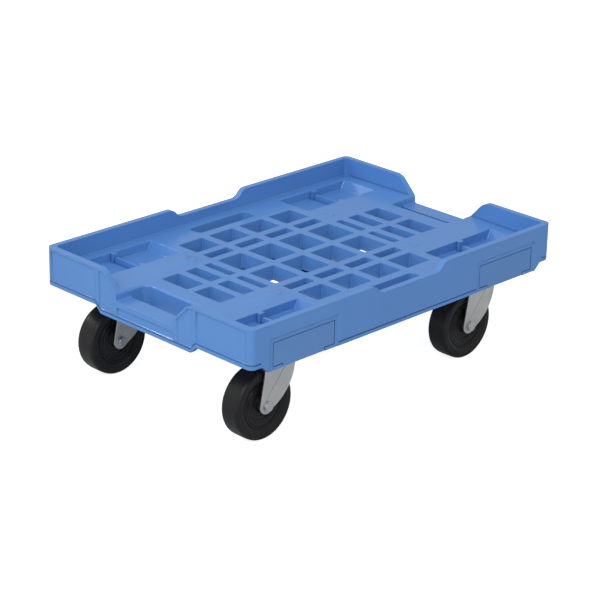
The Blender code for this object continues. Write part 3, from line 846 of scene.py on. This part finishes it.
def label_seat(sx, sy):
    ends = sorted((sy * (LABEL_FACE - SEAT_DEPTH), sy * (HALF_Y + OVER)))
    seat = slab(label_outline(SEAT_GAP, 0.11), *ends, along="Y")
    bmesh.ops.translate(seat, vec=(sx * LABEL_X, 0, 0), verts=seat.verts)
    return [seat]


deck = carved(deck, in_four_corners(label_frame))
deck = carved(deck, in_four_corners(label_seat))
print("label frames", round((HALF_Y - LABEL_FACE) / MM, 2), "mm deep")

# %% Bosses on the tray, and the finished deck
BOSS_X, BOSS_Y = 136 * MM, 82.5 * MM
BOSS_RING = mm([
    (0, -2), (8.4, -2), (8.4, 0), (7.8, 0.1), (7.3, 0.4), (6.9, 0.8), (6.5, 1.0), (6.1, 1.0),
    (5.6, 0.75), (5.0, 0.5), (4.2, 0.3), (3.2, 0.2), (0, 0.2),
])


def boss(sx, sy):
    """A low round boss with a soft rim and a dish inside."""
    shape = turned(BOSS_RING, 40)
    bmesh.ops.translate(shape, vec=(sx * BOSS_X, sy * BOSS_Y, TRAY), verts=shape.verts)
    return [shape]


deck = carved(deck, in_four_corners(boss), "UNION")
deck_piece = piece(
    deck, "deck_moulding", blue_plastic, "trolley", ["deck"], limit=48,
)
print("deck:", len(deck_piece.data.polygons), "faces")

# %% [markdown]
# ## Label plates
# Each plate is a thin T-shaped moulding that snaps into its seat, with a tongue reaching down to
# the lower edge so that a finger can free it. The thin dark line round it is the real gap between
# two mouldings, so it is left open rather than drawn.

# %% Label plates
for along_y, sy in (("front", -1), ("rear", 1)):
    for along_x, sx in (("left", -1), ("right", 1)):
        node = "label_plate_" + along_y + "_" + along_x
        ends = sorted((sy * LABEL_FACE, sy * (LABEL_FACE - PLATE_THICK)))
        plate = slab(label_outline(0, SKIRT_LOW + 0.4 * MM), *ends, along="Y")
        bmesh.ops.translate(plate, vec=(sx * LABEL_X, 0, 0), verts=plate.verts)
        piece(
            plate, "label_" + along_y + "_" + along_x, label_plastic,
            "trolley", [node], bevel=0.35 * MM, steps=2,
        )
print("label plate:", [round(2 * LABEL_HALF / MM, 1), round((LABEL_TOP - SKIRT_LOW) / MM, 1)])

# %% [markdown]
# ## Wheel
# The tyre is solid rubber, moulded onto a nylon centre. Its tread is almost flat with round
# shoulders, and its side has two fine rings left by the mould. The centre steps down in rings
# from the tyre to a thin web, and back up to a boss that fills the space between the fork legs.

# %% Tyre and wheel centre outlines
tyre_low, tyre_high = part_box("tyre_front_left")
AXLE_Z = (tyre_low.z + tyre_high.z) / 2


def both_sides(side):
    """A wheel outline from one side's points and their mirror image."""
    return side + [(radius, -height) for radius, height in reversed(side)]


TYRE_SIDE = mm([
    (34.3, -13.4), (35.6, -14.4), (37.0, -14.6), (37.6, -15.2), (39.0, -15.4), (39.5, -15.9),
    (45.6, -16.0), (47.2, -15.6), (48.5, -14.6), (49.4, -13.2), (49.8, -11.5), (50.0, -9.0),
    (50.0, -3.0),
])
CENTRE_SIDE = mm([
    (6.5, -17.8), (10.6, -17.8), (11.4, -17.4), (11.8, -16.6), (12.2, -10.4), (12.9, -9.8),
    (15.8, -9.8), (16.4, -10.6), (17.6, -10.6), (18.2, -10.0), (21.2, -10.2), (21.8, -11.2),
    (23.2, -11.2), (23.8, -10.6), (26.4, -10.9), (27.0, -12.0), (28.8, -12.4), (29.3, -11.8),
    (30.9, -12.0), (31.5, -13.4), (33.4, -13.8), (34.0, -13.2),
])
print("tyre outline:", len(TYRE_SIDE) * 2, "points; wheel centre:", len(CENTRE_SIDE) * 2)
print("axle at a height of", round(AXLE_Z / MM), "mm")

# %% [markdown]
# ## Fork
# The fork is one piece of pressed steel sheet: a round crown, dished to hold the balls, and two
# legs that lean back to the axle. The legs are cut from a bent channel with one side outline, so
# both have the same shape, and the sheet's edge stays visible all the way round.

# %% Fork shape
TRAIL = 28.5 * MM
LEG_OUT, SHEET = 21 * MM, 2.6 * MM
CROWN_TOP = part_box("fork_front_left")[1].z
CROWN_LOW = CROWN_TOP - 5.7 * MM


def swept(cx, cz, radius, start, end, steps):
    """Points along an arc between two angles in degrees."""
    return [
        (cx + radius * math.cos(math.radians(start + (end - start) * i / steps)),
         cz + radius * math.sin(math.radians(start + (end - start) * i / steps)))
        for i in range(steps + 1)
    ]


def fork_shape():
    """A bent channel cut to the legs' outline, joined to the crown, with its two holes."""
    inside, shoulder = LEG_OUT - SHEET, CROWN_TOP - 2.7 * MM
    channel = [
        (-LEG_OUT, 0.03), (-inside, 0.03), (-inside, CROWN_LOW), (inside, CROWN_LOW),
        (inside, 0.03), (LEG_OUT, 0.03), (LEG_OUT, shoulder), (-LEG_OUT, shoulder),
    ]
    bends = {2: 2 * MM, 3: 2 * MM, 6: 2.6 * MM, 7: 2.6 * MM}
    legs = slab(channel, -0.05, 0.04, along="X", radii=bends)
    outline = [(20.5 * MM, 0.13)]
    outline += swept(-44 * MM, 0.105, 65 * MM, -7, -62, 22)
    outline += swept(-TRAIL - 1 * MM, 51.5 * MM, 12.3 * MM, -42, -175, 18)
    outline += [(-32.5 * MM, 0.1), (-30.5 * MM, 0.13)]
    legs = carved(legs, slab(outline, -0.03, 0.03, along="Y"), "INTERSECT")
    crown = turned(mm([
        (0.0, 121.0), (27.0, 121.0), (29.0, 121.6), (30.0, 123.0), (30.0, 125.0), (29.4, 126.2),
        (28.0, 126.7), (24.6, 126.7), (23.6, 126.3), (22.0, 126.0), (20.4, 126.3), (19.4, 126.7),
        (0.0, 126.7),
    ]), 56)
    body = carved(crown, legs, "UNION")
    holes = turned(mm([(0, 110), (6.3, 110), (6.3, 140), (0, 140)]), 32)
    body = carved(body, holes)
    axle_hole = turned(mm([(0, -30), (4.3, -30), (4.3, 30), (0, 30)]), 32)
    bmesh.ops.transform(axle_hole, matrix=LAY_ON_AXLE, verts=axle_hole.verts)
    bmesh.ops.translate(axle_hole, vec=(-TRAIL, 0, AXLE_Z), verts=axle_hole.verts)
    return carved(body, axle_hole)


fork = fork_shape()
print("fork:", len(fork.faces), "faces")

# %% [markdown]
# ## The small steel parts
# A bolt carries the wheel: hexagon head with a washer face on the front side, lock nut on the
# rear. A rivet-headed kingpin holds the fork to the mounting plate, with a ring of
# balls between them. Four screws hold the plate.

# %% Bolt, nut, sleeve
def on_axle(bm, toward=1):
    """Lay a shape made about Z along the axle, with its top to the rear or the front."""
    turn = Matrix.Rotation(math.radians(-90 * toward), 4, "X")
    bmesh.ops.transform(bm, matrix=turn, verts=bm.verts)
    bmesh.ops.translate(bm, vec=(-TRAIL, 0, AXLE_Z), verts=bm.verts)
    return bm


def hexagon(radius, low, high):
    bm = bmesh.new()
    bmesh.ops.create_cone(
        bm, cap_ends=True, segments=6, radius1=radius, radius2=radius, depth=high - low,
        matrix=Matrix.Translation((0, 0, (low + high) / 2)),
    )
    return bm


def chamfered_hexagon(radius, low, high):
    """A bolt head: a hexagon whose end corners are turned off."""
    limit = turned([
        (0, low), (radius * 1.02, low), (radius * 1.02, high - 1.1 * MM), (radius * 0.86, high),
        (0, high),
    ], 48)
    return carved(hexagon(radius, low - 1 * MM, high + 1 * MM), limit, "INTERSECT")


def axle_bolt_shape():
    head = LEG_OUT + 0.3 * MM
    washer = turned(mm([(0, 21.3), (7.2, 21.3), (7.2, 22.1), (0, 22.1)]), 48)
    shape = carved(washer, chamfered_hexagon(7.5 * MM, head + 0.6 * MM, head + 3.9 * MM), "UNION")
    shank = turned(mm([(0, -29), (3.2, -29), (4.0, -28.2), (4.0, 21.8), (0, 21.8)]), 32)
    return on_axle(carved(shape, shank, "UNION"), -1)


def axle_nut_shape():
    low = LEG_OUT + 0.3 * MM
    shape = chamfered_hexagon(7.5 * MM, low, low + 6 * MM)
    bore = turned(mm([(0, 10), (4.3, 10), (4.3, 40), (0, 40)]), 32)
    return on_axle(carved(shape, bore))


def axle_sleeve_shape():
    return on_axle(turned(mm([(4.3, -18.1), (6.2, -18.1), (6.2, 18.1), (4.3, 18.1)]), 40))


axle_bolt, axle_nut, axle_sleeve = axle_bolt_shape(), axle_nut_shape(), axle_sleeve_shape()
print("bolt", len(axle_bolt.faces), "nut", len(axle_nut.faces), "sleeve", len(axle_sleeve.faces))

# %% Kingpin, ball ring, mounting plate, screw
kingpin = turned(mm([
    (0, 116.6), (5.5, 116.7), (8.4, 117.3), (10.0, 118.6), (10.5, 120.7), (6.0, 120.7),
    (6.0, 135.9), (11.0, 135.9), (11.0, 137.6), (9.6, 138.6), (6.0, 138.8), (0, 138.8),
]), 40)
BALL_RING_RADIUS, BALL_RING_Z = 22 * MM, 129.7 * MM
ring_angles = [math.radians(angle) for angle in range(0, 360, 30)]
ball_ring = turned([
    (BALL_RING_RADIUS + 4.2 * MM * math.cos(a), BALL_RING_Z + 2.7 * MM * math.sin(a))
    for a in ring_angles
], 48)
plate_low, plate_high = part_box("mount_plate_front_left")
half_plate_x = (plate_high.x - plate_low.x) / 2
half_plate_y = (plate_high.y - plate_low.y) / 2
mount_plate = block(
    -half_plate_x, half_plate_x, -half_plate_y, half_plate_y, plate_low.z, plate_high.z, 8 * MM, 5,
)
SCREW_AT = (36 * MM, 27 * MM)
plate_holes = [turned(mm([(0, 125), (6.3, 125), (6.3, 145), (0, 145)]), 32)]
for dx in (-1, 1):
    for dy in (-1, 1):
        hole = turned(mm([(0, 125), (3.3, 125), (3.3, 145), (0, 145)]), 20)
        bmesh.ops.translate(hole, vec=(dx * SCREW_AT[0], dy * SCREW_AT[1], 0), verts=hole.verts)
        plate_holes.append(hole)
mount_plate = carved(mount_plate, gathered(plate_holes))
screw = carved(
    chamfered_hexagon(5.8 * MM, 127.5 * MM, 131.6 * MM),
    turned(mm([(0, 131.3), (3, 131.3), (3, 142.4), (2, 143), (0, 143)]), 20), "UNION",
)
print("mounting plate", round(2 * half_plate_x / MM), "x", round(2 * half_plate_y / MM), "mm")

# %% [markdown]
# ## Four casters
# All four casters are the same, so each shape is made once and copied to the four kingpins. A
# copy gets its place in its mesh. What hangs under the kingpin rides on the swivel, and the tyre
# with its centre rides on the wheel.

# %% Copy the caster to the four corners
def copy_at(shape, x, y):
    bm = shape.copy()
    bmesh.ops.translate(bm, vec=(x, y, 0), verts=bm.verts)
    return bm


tyre = on_axle(turned(both_sides(TYRE_SIDE), 96))
wheel_centre = on_axle(turned(both_sides(CENTRE_SIDE), 72))
CASTER = {
    "mount_plate": (mount_plate, zinc, "zinc_steel", "trolley", 0.5, 30),
    "kingpin": (kingpin, bolt_zinc, "bolt_steel", "trolley", 0, 40),
    "ball_ring": (ball_ring, bolt_zinc, "bolt_steel", "swivel_", 0, 50),
    "fork": (fork, zinc, "zinc_steel", "swivel_", 0.45, 35),
    "axle_bolt": (axle_bolt, bolt_zinc, "bolt_steel", "swivel_", 0.15, 35),
    "axle_nut": (axle_nut, bolt_zinc, "bolt_steel", "swivel_", 0.15, 35),
    "axle_sleeve": (axle_sleeve, bolt_zinc, "bolt_steel", "swivel_", 0, 40),
    "wheel_centre": (wheel_centre, black_plastic, "black_plastic", "wheel_", 0, 50),
    "tyre": (tyre, black_rubber, "black_rubber", "wheel_", 0, 40),
}
for corner in ("front_left", "front_right", "rear_left", "rear_right"):
    low_corner, high_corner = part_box("mount_plate_" + corner)
    x, y = (low_corner.x + high_corner.x) / 2, (low_corner.y + high_corner.y) / 2
    for part, (shape, material, slot, body, bevel, limit) in CASTER.items():
        on_body = body if body == "trolley" else body + corner
        piece(
            copy_at(shape, x, y), part + "_shown_" + corner, material, on_body,
            [part + "_" + corner], bevel=bevel * MM, limit=limit,
        )
    for number in range(1, 5):
        node = "mount_screw_" + corner + "_" + str(number)
        low_corner, high_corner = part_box(node)
        sx = (low_corner.x + high_corner.x) / 2
        sy = (low_corner.y + high_corner.y) / 2
        piece(
            copy_at(screw, sx, sy), "screw_shown_" + corner + "_" + str(number), bolt_zinc,
            "trolley", [node], bevel=0, limit=35,
        )
print("casters placed")
